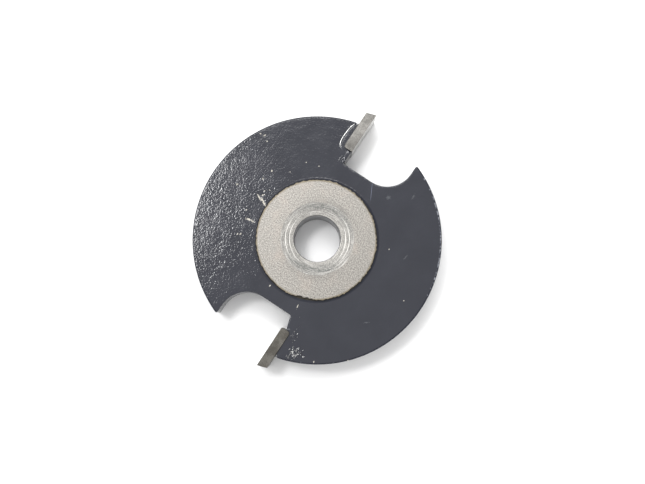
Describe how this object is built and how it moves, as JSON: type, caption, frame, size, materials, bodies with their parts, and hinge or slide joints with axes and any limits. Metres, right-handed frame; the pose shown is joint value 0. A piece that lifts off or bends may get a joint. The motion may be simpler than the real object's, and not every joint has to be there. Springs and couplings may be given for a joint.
{
  "type": "slot cutter disc",
  "caption": "Flat steel cutter disc with a plain central bore, a raised bare hub, deep rim gullets and brazed carbide tips, for cutting slots and carving wood.",
  "frame": {"origin": "on the bore's axis, at half the thickness of the disc", "axes": "+Z along the spindle, out of the face seen from the side where the cutter turns clockwise; +Y through the cutting corner of tip 1"},
  "size_m": [0.0428, 0.0476, 0.0064],
  "materials": {
    "black_enamel": "glossy black stoved enamel with orange peel over steel; the hub faces, bore and dish are bare turned steel",
    "tungsten_carbide": "ground grey tungsten carbide, satin",
    "silver_braze": "dull silver braze fillet, partly under enamel"
  },
  "bodies": {
    "root": {"disc_body": "black_enamel", "carbide_tip_1": "tungsten_carbide", "carbide_tip_2": "tungsten_carbide", "braze_seam_1": "silver_braze", "braze_seam_2": "silver_braze"}
  },
  "joints": []
}
